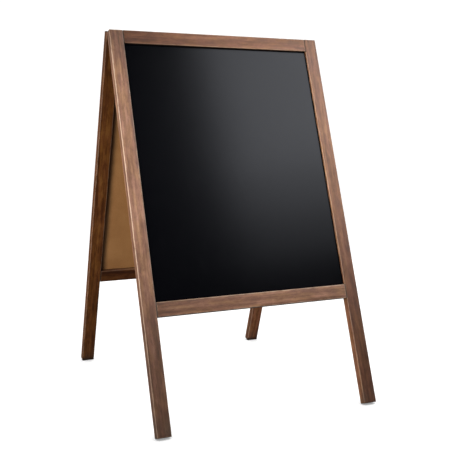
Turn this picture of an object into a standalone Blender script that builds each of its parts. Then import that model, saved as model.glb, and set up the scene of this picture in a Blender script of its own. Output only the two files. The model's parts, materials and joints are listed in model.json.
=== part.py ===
"""Wooden A-frame sandwich board: two identical framed chalkboards hinged at the top edge.

Metres, +Z up. The origin is on the floor, midway between the four feet. The front board faces
-Y and the rear board +Y. Each board is modelled in its own frame, whose origin lies on the
hinge axis: local X runs across the board, local Z up the legs and local -Y outwards.
"""

from math import cos, pi, radians, sin

import bmesh
import bpy
from mathutils import Matrix, Vector

# Boards
BOARD_WIDTH = 0.600
LEG_LENGTH = 1.008
LEAN = radians(19.4)  # each board from the vertical when the sign stands open
TIMBER_WIDTH = 0.036
TIMBER_THICK = 0.021
EDGE_RADIUS = 0.0018
LOWER_RAIL_TOP = 0.6965  # from the top end of the legs
CLEARANCE = 0.0003

# Chalkboard panels
PANEL_THICK = 0.003
PANEL_RECESS = 0.0070  # outer face of the panel behind the outer face of the timber
GROOVE_DEPTH = 0.007

# Dowels
DOWEL_RADIUS = 0.003
DOWEL_LENGTH = 0.036
DOWEL_INSETS = (0.008, 0.020)  # from the edge of the rail that has no groove

# Hinges
HINGE_CENTRES = {"left": -0.160, "right": 0.160}
HINGE_LENGTH = 0.060
KNUCKLE_COUNT = 5
BARREL_RADIUS = 0.0040
PIN_RADIUS = 0.0019
PIN_HEAD_RADIUS = 0.0029
PIN_HEAD_THICK = 0.0011
LEAF_THICK = 0.0015
LEAF_REACH = 0.0195  # from the hinge axis to the lower edge of the leaf
HINGE_SCREWS = ((-0.0215, -0.0125), (0.0, -0.0095), (0.0215, -0.0125))

# Limit strap between the lower rails
STRAP_WIDTH = 0.025
STRAP_THICK = 0.0014
STRAP_TAB = (0.705, 0.729)  # end tab on the lower rail, from the top end of the legs
STRAP_BEND_RADIUS = 0.004
STRAP_SAG = 0.007
STRAP_STEPS = 12
PLATE_THICK = 0.0012
PLATE_HEIGHT = 0.014
PLATE_DROP = 0.718  # centre of the plate, from the top end of the legs
PLATE_SCREW_OFFSET = 0.007

# Screws
SCREW_RADIUS = 0.00175
SCREW_HEAD_RADIUS = 0.0034
SCREW_LENGTH = 0.0140
SCREW_POINT = 0.0040

ROUND_STEPS = 24
SMALL_STEPS = 16

# Worked-out sizes
BOARD_GAP = BARREL_RADIUS + 0.00035  # hinge axis to the inner face of either board
TOP_EDGE_GAP = 0.0006  # between the inner top edges when open
AXIS_DROP = (BOARD_GAP * cos(LEAN) - TOP_EDGE_GAP / 2) / sin(LEAN)  # below the top ends
FOOT_DROP = LEG_LENGTH - AXIS_DROP
FOOT_EASING = EDGE_RADIUS * (cos(LEAN) + sin(LEAN) - 1)
AXIS_HEIGHT = FOOT_DROP * cos(LEAN) - BOARD_GAP * sin(LEAN) - FOOT_EASING
OUTER_FACE = -(BOARD_GAP + TIMBER_THICK)
TIMBER_MIDDLE = -(BOARD_GAP + TIMBER_THICK / 2)
PANEL_MIDDLE = OUTER_FACE + PANEL_RECESS + PANEL_THICK / 2
LOWER_RAIL_BOTTOM = LOWER_RAIL_TOP + TIMBER_WIDTH
RAIL_LENGTH = BOARD_WIDTH - 2 * TIMBER_WIDTH - 2 * CLEARANCE
DOWEL_HOLE_DEPTH = DOWEL_LENGTH / 2 + 0.00045


def clear_scene():
    for scene_object in list(bpy.data.objects):
        bpy.data.objects.remove(scene_object, do_unlink=True)
    for old in list(bpy.data.collections):
        bpy.data.collections.remove(old)


def new_collection(name):
    made = bpy.data.collections.new(name)
    bpy.context.scene.collection.children.link(made)
    return made


def principled(name, colour, roughness, metallic=0.0):
    material = bpy.data.materials.new(name)
    material.use_nodes = True
    shader = material.node_tree.nodes["Principled BSDF"]
    shader.inputs["Base Color"].default_value = (*colour, 1.0)
    shader.inputs["Roughness"].default_value = roughness
    shader.inputs["Metallic"].default_value = metallic
    return material


def empty(name, location, rotation=(0.0, 0.0, 0.0), parent=None):
    made = bpy.data.objects.new(name, None)
    made.empty_display_size = 0.05
    made.location = location
    made.rotation_euler = rotation
    made.parent = parent
    parts.objects.link(made)
    return made


def add_mesh(name, shape, collection):
    mesh = bpy.data.meshes.new(name)
    shape.to_mesh(mesh)
    shape.free()
    made = bpy.data.objects.new(name, mesh)
    collection.objects.link(made)
    return made


def place(item, parent, location=(0.0, 0.0, 0.0), rotation=(0.0, 0.0, 0.0)):
    item.parent = parent
    item.location = location
    item.rotation_euler = rotation
    return item


def finish(item, material, smooth_angle=radians(35)):
    """One material, and smooth shading across round surfaces only."""
    item.data.materials.append(material)
    item.data.set_sharp_from_angle(angle=smooth_angle)
    for face in item.data.polygons:
        face.use_smooth = True
    return item


def cube_shape(size):
    shape = bmesh.new()
    bmesh.ops.create_cube(shape, size=1.0)
    bmesh.ops.scale(shape, vec=Vector(size), verts=shape.verts)
    return shape


def block(name, size, collection=None):
    return add_mesh(name, cube_shape(size), collection or parts)


def rod(name, radius, length, steps=ROUND_STEPS, end_radius=None, collection=None):
    """A cylinder or cone along local X, centred on its origin; end_radius is its +X end."""
    shape = bmesh.new()
    bmesh.ops.create_cone(
        shape,
        cap_ends=True,
        segments=steps,
        radius1=radius,
        radius2=radius if end_radius is None else end_radius,
        depth=length,
    )
    bmesh.ops.rotate(shape, verts=shape.verts, matrix=Matrix.Rotation(pi / 2, 3, "Y"))
    return add_mesh(name, shape, collection or parts)


def ease_edges(item, radius=EDGE_RADIUS, segments=3):
    bevel = item.modifiers.new("eased edges", "BEVEL")
    bevel.width = radius
    bevel.segments = segments
    bevel.limit_method = "ANGLE"
    bevel.angle_limit = radians(40)
    return item


def as_cutter(item):
    item.display_type = "WIRE"
    item.hide_render = True
    return item


def boolean(item, other, operation):
    step = item.modifiers.new(f"{operation.lower()} {other.name}", "BOOLEAN")
    step.operation = operation
    step.solver = "EXACT"
    step.object = other


def cut_block(item, name, size, location, parent):
    cutter = as_cutter(block(name, size, cutters))
    place(cutter, parent, location)
    boolean(item, cutter, "DIFFERENCE")


def cut_rod(item, name, radius, length, location, parent, rotation=(0.0, 0.0, 0.0), end=None):
    cutter = as_cutter(rod(name, radius, length, end_radius=end, collection=cutters))
    place(cutter, parent, location, rotation)
    boolean(item, cutter, "DIFFERENCE")


def add_solid(item, other, parent, location=(0.0, 0.0, 0.0), rotation=(0.0, 0.0, 0.0)):
    """Union with a shape that lives among the cutters."""
    place(as_cutter(other), parent, location, rotation)
    boolean(item, other, "UNION")


def turned(name, profile, steps=SMALL_STEPS):
    """A solid of revolution round local X, from (along X, radius) points with X increasing."""
    shape = bmesh.new()
    ring = [shape.verts.new((along, 0.0, radius)) for along, radius in profile]
    for first, second in zip(ring, ring[1:]):
        shape.edges.new((first, second))
    item = add_mesh(name, shape, parts)
    screw = item.modifiers.new("turned", "SCREW")
    screw.axis = "X"
    screw.angle = 2 * pi
    screw.steps = steps
    screw.render_steps = steps
    screw.use_merge_vertices = True
    screw.merge_threshold = 0.00001
    screw.use_smooth_shade = True
    screw.use_normal_flip = True
    return item


def arc(centre, radius, start, sweep, steps=12):
    """Points on a circle in the YZ plane; angles run from +Y towards +Z."""
    return [
        (
            centre[0] + radius * cos(start + sweep * i / steps),
            centre[1] + radius * sin(start + sweep * i / steps),
        )
        for i in range(steps + 1)
    ]


def drop(distance_from_top):
    """Local height of a point given by its distance from the top end of the legs."""
    return AXIS_DROP - distance_from_top


class Board:
    """One of the two boards: its name, its frame and which local X side is which."""

    def __init__(self, name, turn):
        self.name = name
        self.axis = empty(f"{name}_board_axis", (0, 0, AXIS_HEIGHT), (-LEAN, 0, turn))
        facing = 1 if turn == 0 else -1
        self.sides = {"left": -facing, "right": facing}


def make_stile(board, side):
    sign = board.sides[side]
    name = f"{board.name}_{side}_stile"
    stile = ease_edges(block(name, (TIMBER_WIDTH, TIMBER_THICK, LEG_LENGTH)))
    centre_x = sign * (BOARD_WIDTH - TIMBER_WIDTH) / 2
    place(stile, board.axis, (centre_x, TIMBER_MIDDLE, drop(LEG_LENGTH / 2)))

    inner_edge = sign * (BOARD_WIDTH / 2 - TIMBER_WIDTH)
    groove_top = drop(TIMBER_WIDTH - GROOVE_DEPTH)
    groove_bottom = drop(LOWER_RAIL_TOP + GROOVE_DEPTH)
    groove_size = (2 * GROOVE_DEPTH, PANEL_THICK + 2 * CLEARANCE, groove_top - groove_bottom)
    groove_centre = (inner_edge, PANEL_MIDDLE, (groove_top + groove_bottom) / 2)
    cut_block(stile, f"{name}_groove", groove_size, groove_centre, board.axis)

    for rail in ("top", "bottom"):
        for number, height in enumerate(dowel_heights(rail), 1):
            cut_rod(
                stile,
                f"{name}_{rail}_dowel_hole_{number}",
                DOWEL_RADIUS + CLEARANCE,
                2 * DOWEL_HOLE_DEPTH,
                (inner_edge, TIMBER_MIDDLE, height),
                board.axis,
            )
    return finish(stile, wood)


def dowel_heights(rail):
    if rail == "top":
        return [drop(inset) for inset in DOWEL_INSETS]
    return [drop(LOWER_RAIL_BOTTOM - inset) for inset in DOWEL_INSETS]


def make_rail(board, rail):
    name = f"{board.name}_{rail}_rail"
    bar = ease_edges(block(name, (RAIL_LENGTH, TIMBER_THICK, TIMBER_WIDTH)))
    rail_top = 0.0 if rail == "top" else LOWER_RAIL_TOP
    middle = drop(rail_top + TIMBER_WIDTH / 2)
    place(bar, board.axis, (0, TIMBER_MIDDLE, middle))

    groove_edge = drop(TIMBER_WIDTH) if rail == "top" else drop(LOWER_RAIL_TOP)
    groove_size = (BOARD_WIDTH, PANEL_THICK + 2 * CLEARANCE, 2 * GROOVE_DEPTH)
    cut_block(bar, f"{name}_groove", groove_size, (0, PANEL_MIDDLE, groove_edge), board.axis)

    for side, sign in board.sides.items():
        for number, height in enumerate(dowel_heights(rail), 1):
            cut_rod(
                bar,
                f"{name}_{side}_dowel_hole_{number}",
                DOWEL_RADIUS + CLEARANCE,
                2 * DOWEL_HOLE_DEPTH,
                (sign * RAIL_LENGTH / 2, TIMBER_MIDDLE, height),
                board.axis,
            )
    return finish(bar, wood)


def make_panel(board):
    margin = GROOVE_DEPTH - 2 * CLEARANCE
    width = BOARD_WIDTH - 2 * TIMBER_WIDTH + 2 * margin
    height = LOWER_RAIL_TOP - TIMBER_WIDTH + 2 * margin
    panel = block(f"{board.name}_chalkboard_panel", (width, PANEL_THICK, height))
    middle = drop((TIMBER_WIDTH + LOWER_RAIL_TOP) / 2)
    place(panel, board.axis, (0, PANEL_MIDDLE, middle))
    return finish(panel, chalkboard)


def make_dowels(board):
    half = DOWEL_LENGTH / 2
    chamfer = 0.0008
    profile = (
        (-half, 0.0),
        (-half, DOWEL_RADIUS - chamfer),
        (-half + chamfer, DOWEL_RADIUS),
        (half - chamfer, DOWEL_RADIUS),
        (half, DOWEL_RADIUS - chamfer),
        (half, 0.0),
    )
    for rail in ("top", "bottom"):
        for side, sign in board.sides.items():
            joint_x = sign * (BOARD_WIDTH / 2 - TIMBER_WIDTH - CLEARANCE / 2)
            for number, height in enumerate(dowel_heights(rail), 1):
                dowel = turned(f"{board.name}_{rail}_{side}_dowel_{number}", profile)
                place(dowel, board.axis, (joint_x, TIMBER_MIDDLE, height))
                finish(dowel, raw_wood)


def make_screw(name, board, x, face, height):
    """A countersunk wood screw driven outwards (local -Y) from a metal face at local y."""
    head_depth = SCREW_HEAD_RADIUS - SCREW_RADIUS
    profile = (
        (-SCREW_LENGTH, 0.0),
        (SCREW_POINT - SCREW_LENGTH, SCREW_RADIUS),
        (-head_depth, SCREW_RADIUS),
        (0.0, SCREW_HEAD_RADIUS),
        (0.0, 0.0),
    )
    screw = turned(name, profile)
    place(screw, board.axis, (x, face, height), (0, 0, pi / 2))
    recess_depth = 0.0022
    for letter, size in (("a", (0.0044, 0.0009)), ("b", (0.0009, 0.0044))):
        cutter = block(f"{name}_recess_{letter}", (recess_depth, *size), cutters)
        place(as_cutter(cutter), board.axis, (x, face, height), (0, 0, pi / 2))
        boolean(screw, cutter, "DIFFERENCE")
    return finish(screw, steel)


def cut_screw_hole(item, name, board, x, face, height, plate_thick, in_wood):
    """Clearance for a screw: a plain bore in timber, a countersink in metal plate."""
    turn = (0, 0, pi / 2)
    if in_wood:
        depth = 2 * (SCREW_LENGTH + CLEARANCE)
        radius = SCREW_RADIUS + CLEARANCE
        cut_rod(item, f"{name}_bore", radius, depth, (x, face, height), board.axis, turn)
        return
    slack = CLEARANCE * 1.5
    small = SCREW_HEAD_RADIUS + slack - plate_thick - CLEARANCE
    large = SCREW_HEAD_RADIUS + slack + CLEARANCE
    middle = face - plate_thick / 2
    depth = plate_thick + 2 * CLEARANCE
    cut_rod(item, f"{name}_sink", small, depth, (x, middle, height), board.axis, turn, end=large)


def make_leaf(board, side):
    """A hinge leaf with its knuckles; the front leaf has one knuckle more than the rear."""
    name = f"{side}_hinge_{board.name}_leaf"
    centre_x = abs(HINGE_CENTRES[side]) * board.sides[side]
    wood_side = -(BOARD_GAP - CLEARANCE)
    plate_middle = wood_side + LEAF_THICK / 2
    leaf = block(name, (HINGE_LENGTH, LEAF_THICK, LEAF_REACH))
    place(leaf, board.axis, (centre_x, plate_middle, -LEAF_REACH / 2))

    pitch = HINGE_LENGTH / KNUCKLE_COUNT
    knuckle_length = pitch - CLEARANCE
    own_first = 0 if board.name == "front" else 1
    for index in range(KNUCKLE_COUNT):
        knuckle_x = centre_x + (index - (KNUCKLE_COUNT - 1) / 2) * pitch
        if index % 2 == own_first:
            barrel = rod(f"{name}_knuckle_{index}", BARREL_RADIUS, knuckle_length, collection=cutters)
            add_solid(leaf, barrel, board.axis, (knuckle_x, 0, 0))
        else:
            notch = (pitch + CLEARANCE, 3 * LEAF_THICK, 2 * (BARREL_RADIUS + 2 * CLEARANCE))
            cut_block(leaf, f"{name}_notch_{index}", notch, (knuckle_x, plate_middle, 0), board.axis)
    bore = PIN_RADIUS + CLEARANCE
    cut_rod(leaf, f"{name}_bore", bore, 1.2 * HINGE_LENGTH, (centre_x, 0, 0), board.axis)

    face = wood_side + LEAF_THICK
    for number, (offset, height) in enumerate(HINGE_SCREWS, 1):
        hole = f"{side}_hinge_{board.name}_screw_{number}"
        x = centre_x + offset
        cut_screw_hole(leaf, hole + "_leaf", board, x, face, height, LEAF_THICK, False)
        cut_screw_hole(board.top_rail, hole + "_rail", board, x, face, height, 0.0, True)
        make_screw(hole, board, x, face, height)
    return finish(leaf, steel)


def make_hinge_pin(side):
    half = HINGE_LENGTH / 2
    head_inner = half + CLEARANCE
    head_outer = head_inner + PIN_HEAD_THICK
    crown = 0.6 * PIN_HEAD_RADIUS
    profile = (
        (-head_outer, 0.0),
        (-head_outer, crown),
        (-head_inner, PIN_HEAD_RADIUS),
        (-head_inner, PIN_RADIUS),
        (head_inner, PIN_RADIUS),
        (head_inner, PIN_HEAD_RADIUS),
        (head_outer, crown),
        (head_outer, 0.0),
    )
    pin = turned(f"{side}_hinge_pin", profile, ROUND_STEPS)
    pin.location = (HINGE_CENTRES[side], 0, AXIS_HEIGHT)
    return finish(pin, steel)


def make_strap_plate(board):
    """A steel plate and two screws that clamp the end of the strap to the lower rail."""
    strap_face = -(BOARD_GAP - CLEARANCE - STRAP_THICK - CLEARANCE)
    middle = strap_face + PLATE_THICK / 2
    face = strap_face + PLATE_THICK
    height = drop(PLATE_DROP)
    name = f"{board.name}_strap_plate"
    plate = block(name, (STRAP_WIDTH, PLATE_THICK, PLATE_HEIGHT))
    ease_edges(plate, 0.0004, 2)
    place(plate, board.axis, (0, middle, height))
    for side, sign in board.sides.items():
        hole = f"{board.name}_strap_screw_{side}"
        x = sign * PLATE_SCREW_OFFSET
        cut_screw_hole(plate, hole + "_plate", board, x, face, height, PLATE_THICK, False)
        cut_screw_hole(board.bottom_rail, hole + "_rail", board, x, face, height, 0.0, True)
        make_screw(hole, board, x, face, height)
    return finish(plate, steel)


def strap_half():
    """Centre line of the front half of the strap, as (y, z): tab, bend, then a shallow sag."""

    def in_world(y, z):
        return (
            y * cos(LEAN) + z * sin(LEAN),
            AXIS_HEIGHT - y * sin(LEAN) + z * cos(LEAN),
        )

    layer = -(BOARD_GAP - CLEARANCE - STRAP_THICK / 2)
    tab_top, tab_bottom = (drop(distance) for distance in STRAP_TAB)
    start = in_world(layer, tab_bottom)
    bend_centre = in_world(layer + STRAP_BEND_RADIUS, tab_top)
    bend_end = pi / 2
    bend_start = pi - LEAN
    bend = arc(bend_centre, STRAP_BEND_RADIUS, bend_start, bend_end - bend_start, 5)
    lip_y, lip_z = bend[-1]
    sag = []
    for i in range(1, STRAP_STEPS + 1):
        share = i / STRAP_STEPS
        sag.append((lip_y * (1 - share), lip_z - STRAP_SAG * sin(share * pi / 2) ** 2))
    return [start, *bend, *sag]


def make_strap(boards):
    half = strap_half()
    line = half + [(-y, z) for y, z in reversed(half[:-1])]
    shape = bmesh.new()
    near = [shape.verts.new((-STRAP_WIDTH / 2, y, z)) for y, z in line]
    edges = [shape.edges.new(pair) for pair in zip(near, near[1:])]
    swept = bmesh.ops.extrude_edge_only(shape, edges=edges)["geom"]
    far = [item for item in swept if isinstance(item, bmesh.types.BMVert)]
    bmesh.ops.translate(shape, verts=far, vec=(STRAP_WIDTH, 0, 0))
    strap = add_mesh("limit_strap", shape, parts)
    solidify = strap.modifiers.new("webbing thickness", "SOLIDIFY")
    solidify.thickness = STRAP_THICK
    solidify.offset = 0.0
    solidify.use_even_offset = True
    for board in boards:
        for side, sign in board.sides.items():
            cut_rod(
                strap,
                f"limit_strap_{board.name}_{side}_hole",
                SCREW_RADIUS + CLEARANCE,
                4 * BOARD_GAP,
                (sign * PLATE_SCREW_OFFSET, -BOARD_GAP, drop(PLATE_DROP)),
                board.axis,
                (0, 0, pi / 2),
            )
    return finish(strap, webbing)


def make_board(name, turn):
    board = Board(name, turn)
    make_stile(board, "left")
    make_stile(board, "right")
    board.top_rail = make_rail(board, "top")
    board.bottom_rail = make_rail(board, "bottom")
    make_panel(board)
    make_dowels(board)
    for side in HINGE_CENTRES:
        make_leaf(board, side)
    make_strap_plate(board)
    return board


clear_scene()
parts = new_collection("sandwich_board")
cutters = new_collection("cutters")
cutters.hide_render = True

wood = principled("stained_beech", (0.235, 0.115, 0.066), 0.50)
raw_wood = principled("raw_beech", (0.480, 0.310, 0.170), 0.70)
chalkboard = principled("chalkboard_black", (0.012, 0.013, 0.016), 0.45)
steel = principled("zinc_plated_steel", (0.560, 0.550, 0.520), 0.35, 1.0)
webbing = principled("black_webbing", (0.020, 0.019, 0.018), 0.85)

make_strap([make_board("front", 0.0), make_board("rear", pi)])
for hinge_side in HINGE_CENTRES:
    make_hinge_pin(hinge_side)
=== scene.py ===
"""Looks of a wooden A-frame sandwich board: stained beech frames, chalkboard panels, zinc hinges."""

import json
import random
from collections import namedtuple
from math import cos, pi, radians, sin, sqrt, tau

import bmesh
import bpy
from mathutils import Matrix, Vector, noise


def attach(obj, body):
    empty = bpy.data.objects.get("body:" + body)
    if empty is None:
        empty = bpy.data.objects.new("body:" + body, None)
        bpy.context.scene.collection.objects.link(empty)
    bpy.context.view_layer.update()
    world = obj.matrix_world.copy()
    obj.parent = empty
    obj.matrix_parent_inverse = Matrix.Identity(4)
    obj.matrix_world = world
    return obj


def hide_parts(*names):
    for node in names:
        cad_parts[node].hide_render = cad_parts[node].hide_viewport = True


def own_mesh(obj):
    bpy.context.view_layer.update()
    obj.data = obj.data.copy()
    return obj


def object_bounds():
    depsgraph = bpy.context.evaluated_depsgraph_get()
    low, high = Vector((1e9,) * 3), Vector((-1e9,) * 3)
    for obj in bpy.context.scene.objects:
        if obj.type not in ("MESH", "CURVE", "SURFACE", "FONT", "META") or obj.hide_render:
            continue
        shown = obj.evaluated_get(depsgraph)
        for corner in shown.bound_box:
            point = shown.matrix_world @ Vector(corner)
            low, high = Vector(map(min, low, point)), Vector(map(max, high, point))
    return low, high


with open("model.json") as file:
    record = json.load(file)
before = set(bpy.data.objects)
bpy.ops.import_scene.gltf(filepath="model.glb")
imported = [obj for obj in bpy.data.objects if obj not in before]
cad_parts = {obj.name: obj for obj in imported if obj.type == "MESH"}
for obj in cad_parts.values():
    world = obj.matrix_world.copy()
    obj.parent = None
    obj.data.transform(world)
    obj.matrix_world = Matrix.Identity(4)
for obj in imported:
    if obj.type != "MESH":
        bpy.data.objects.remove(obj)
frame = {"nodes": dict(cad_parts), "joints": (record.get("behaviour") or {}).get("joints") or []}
bounds_at_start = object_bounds()
nodes = frame["nodes"]
fold = next(joint for joint in frame["joints"] if joint["name"] == "board_fold")

MM = 0.001
HINGE_AXIS = Vector(fold["pos_m"])
LEAN = radians(fold["range_deg"][1] / 2)

# Timber
TIMBER_SHRINK = 0.05 * MM  # flats lie this far inside the CAD solid
CORNER_RADIUS = 2.2 * MM
CORNER_STEPS = 6
STATION_PITCH = 5 * MM
END_RADIUS = 1.4 * MM
END_STEPS = 5
DENTS_PER_METRE = 9
RING_PITCH = 4.2 * MM  # growth rings

# Limit strap
STRAP_WIDTH = 24.6 * MM
STRAP_HALF_THICK = 0.68 * MM
STRAP_TAB = (705 * MM, 728.8 * MM)  # ends of the clamped tab, from the top end of the legs
STRAP_LAYER = -3.35 * MM  # middle of the tab in the board's frame
STRAP_BEND_RADIUS = 4 * MM
STRAP_BEND_STEPS = 9
STRAP_SAG = 7 * MM
STRAP_RIBS = 10
STRAP_PITCH = 2.8 * MM  # one crossing thread over and one under
STRAP_STEP = STRAP_PITCH / 4  # distance between cross-sections
# Heights above the middle line as shares of STRAP_HALF_THICK
CORD_HEIGHT = 0.84
CORD_WAVE = 0.16
GROOVE_HEIGHT = 0.60
SELVEDGE_HEIGHT = 0.30
LEG_TOP = 11.45 * MM  # top end of the legs above the hinge axis, along the board

# Panels
PANEL_HALF_WIDTH = 271 * MM
PANEL_MARGIN = 7 * MM  # this much of the panel is hidden in a groove
RAIL_WIDTH = 36 * MM
PANEL_BOTTOM = LEG_TOP - 696.5 * MM  # lower edge of the visible panel, from the hinge axis

# Hinges
LEAF_THICK = 1.5 * MM
LEAF_CORNER = 2.5 * MM
LEAF_CORNER_STEPS = 8
LEAF_EASE = 0.18 * MM
LEAF_TOP = -0.4 * MM  # upper edge of the plate, inside its knuckles
KNUCKLE_COUNT = 5
KNUCKLE_GAP = 0.3 * MM
PIN_BORE = 2.2 * MM  # radius
SINK_ROOM = 0.75 * MM  # a countersink is wider than its screw head by this, all round
SINK_TAPER = 2.1 * MM
SINK_OVERLAP = 0.3 * MM  # the cutter sticks out of the plate on both sides
METAL_EDGE = 0.15 * MM  # bevel on the strap plates and hinge pins

# Screws
HEAD_OVERHANG = 1.65 * MM  # the head's radius less the thread's
HEAD_RIM = 0.25 * MM
HEAD_EDGE = 0.12 * MM
HEAD_CONE = 1.40 * MM
HEAD_SLOPE = 1.18
THREAD_START = 3.0 * MM
THREAD_DEPTH = 0.42 * MM
THREAD_PITCH = 1.2 * MM
SCREW_POINT = 4.0 * MM
SCREW_STEPS = 32
# The cross recess, in millimetres: (depth, length of an arm, half an arm's width)
CROSS_STATIONS = ((-0.3, 2.15, 0.46), (0.6, 1.75, 0.40), (1.5, 0.95, 0.30), (1.9, 0.32, 0.22))

ROUND_STEPS = 48  # sides of a turned shape

# Stained wood, linear RGB. The tints multiply the colour beneath them
STAIN = (
    (0.00, (0.105, 0.041, 0.016)),
    (0.35, (0.185, 0.081, 0.036)),
    (0.65, (0.270, 0.132, 0.065)),
    (1.00, (0.370, 0.205, 0.112)),
)
WARM_TINT = (1.05, 1.00, 0.87)
PINK_TINT = (1.03, 0.94, 1.03)
END_GRAIN_TINT = (0.48, 0.42, 0.38)
# Painted light on a stile's lit side face
SIDE_LIGHT_TINT = (2.25, 2.55, 2.80)
# Painted shade towards the ends of a piece
END_SHADE_TINT = (0.34, 0.27, 0.21)
FLECK_COLOUR = (0.055, 0.022, 0.010)
PORE_COLOUR = (0.045, 0.018, 0.008)
# Rubbed pale corners, also the painted highlight along lit edges
WORN_HIGHLIGHT_COLOUR = (0.58, 0.40, 0.28)
# Dark seams beside the rails, and painted shade on inner corners and under rails
SEAM_AND_SHADE_COLOUR = (0.022, 0.011, 0.006)
# Painted shade in joints and recesses
CREVICE_SHADE_COLOUR = (0.018, 0.008, 0.004)
SEAM_COLOUR = (0.030, 0.015, 0.008)
# Darker towards the feet
FOOT_DARK_COLOUR = (0.070, 0.050, 0.036)

# Panel: chalkboard paint in two shades on one face, bare hardboard on the other
PAINT = ((0.0010, 0.0011, 0.0018), (0.0020, 0.0020, 0.0026))
PAINT_DUST = (0.045, 0.045, 0.047)
PAINT_SHEEN_TINT = (0.94, 0.97, 1.06)
HARDBOARD = (
    (0.30, (0.208, 0.090, 0.025)),
    (0.52, (0.328, 0.154, 0.050)),
    (0.75, (0.415, 0.214, 0.084)),
)
HARDBOARD_SPECK = (0.17, 0.085, 0.035)
# Painted shadow of the stiles on the hardboard
HARDBOARD_SHADOW = (0.050, 0.022, 0.006)

# Metal, dowels and webbing
ZINC = (
    (0.30, (0.36, 0.36, 0.35)),
    (0.50, (0.53, 0.53, 0.51)),
    (0.70, (0.66, 0.65, 0.61)),
)
ZINC_SPOT = (0.22, 0.19, 0.15)
BEECH = ((0.3, (0.38, 0.23, 0.12)), (0.7, (0.56, 0.38, 0.22)))
BEECH_FLECK = (0.26, 0.14, 0.07)
WEBBING = ((0.014, 0.014, 0.015), (0.036, 0.035, 0.034))
WEBBING_THREAD = (0.070, 0.068, 0.066)

# Studio
FLOOR_BOUNCE = 0.20  # how much of the lamps' light the paper gives back
FLOOR_SEEN = 0.40
WORLD_FILL = 0.03
WORLD_SEEN = 1.1
CAMERA_PLACE = (-0.8629, -1.9714, 0.7083)
CAMERA_HEADING = radians(24.358)
CAMERA_DIP = radians(7.030)
CAMERA_LENS = 62.473
SENSOR_WIDTH = 36.0


# ---------------------------------------------------------------- frames and meshes


def board_frame(turn):
    """A board's own frame: X across, Z up the legs, -Y outwards, origin on the hinge axis."""
    rotation = Matrix.Rotation(turn, 4, "Z") @ Matrix.Rotation(-LEAN, 4, "X")
    return Matrix.Translation(HINGE_AXIS) @ rotation


BOARDS = {"front": board_frame(0.0), "rear": board_frame(pi)}


def local_box(node, board):
    """Lowest and highest corner of a CAD node in its board's frame."""
    into = BOARDS[board].inverted()
    points = [into @ vertex.co for vertex in nodes[node].data.vertices]
    low = Vector([min(point[i] for point in points) for i in range(3)])
    high = Vector([max(point[i] for point in points) for i in range(3)])
    return low, high


def new_object(name, mesh, matrix=None):
    made = bpy.data.objects.new(name, mesh)
    bpy.context.scene.collection.objects.link(made)
    if matrix is not None:
        made.matrix_world = matrix
    return made


def smooth(mesh, angle=radians(35)):
    mesh.set_sharp_from_angle(angle=angle)
    for face in mesh.polygons:
        face.use_smooth = True


def loft(name, rings, closed_ends=True, wrapped=False):
    """A mesh through rings of points, all of one count. wrapped joins the last to the first."""
    shape = bmesh.new()
    loops = [[shape.verts.new(point) for point in ring] for ring in rings]
    if wrapped:
        loops.append(loops[0])
    count = len(loops[0])
    for first, second in zip(loops, loops[1:]):
        for i in range(count):
            j = (i + 1) % count
            shape.faces.new((first[i], first[j], second[j], second[i]))
    if closed_ends:
        shape.faces.new(reversed(loops[0]))
        shape.faces.new(loops[-1])
    bmesh.ops.recalc_face_normals(shape, faces=shape.faces)
    mesh = bpy.data.meshes.new(name)
    shape.to_mesh(mesh)
    shape.free()
    return mesh


def apply_boolean(item, other, operation):
    """Bakes one exact Boolean into item's mesh."""
    step = item.modifiers.new("boolean", "BOOLEAN")
    step.operation = operation
    step.solver = "EXACT"
    step.object = other
    bpy.context.view_layer.update()
    evaluated = item.evaluated_get(bpy.context.evaluated_depsgraph_get())
    baked = bpy.data.meshes.new_from_object(evaluated)
    item.modifiers.clear()
    item.data = baked


def carve(piece, mesh, operation="DIFFERENCE"):
    """One Boolean with a mesh in the piece's own frame."""
    tool = new_object("tool", mesh, piece.matrix_world)
    apply_boolean(piece, tool, operation)
    bpy.data.objects.remove(tool)


def turned(name, axis, stations, centre, hollow=False):
    """A round shape along one axis through (place, radius) stations, or a tube if hollow."""
    first, second = (i for i in range(3) if i != axis)
    rings = []
    for place, radius in stations:
        ring = []
        for step in range(ROUND_STEPS):
            angle = tau * step / ROUND_STEPS
            point = Vector(centre)
            point[axis] = place
            point[first] += radius * cos(angle)
            point[second] += radius * sin(angle)
            ring.append(point)
        rings.append(ring)
    return loft(name, rings, closed_ends=not hollow, wrapped=hollow)


# ---------------------------------------------------------------- shader graphs


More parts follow.
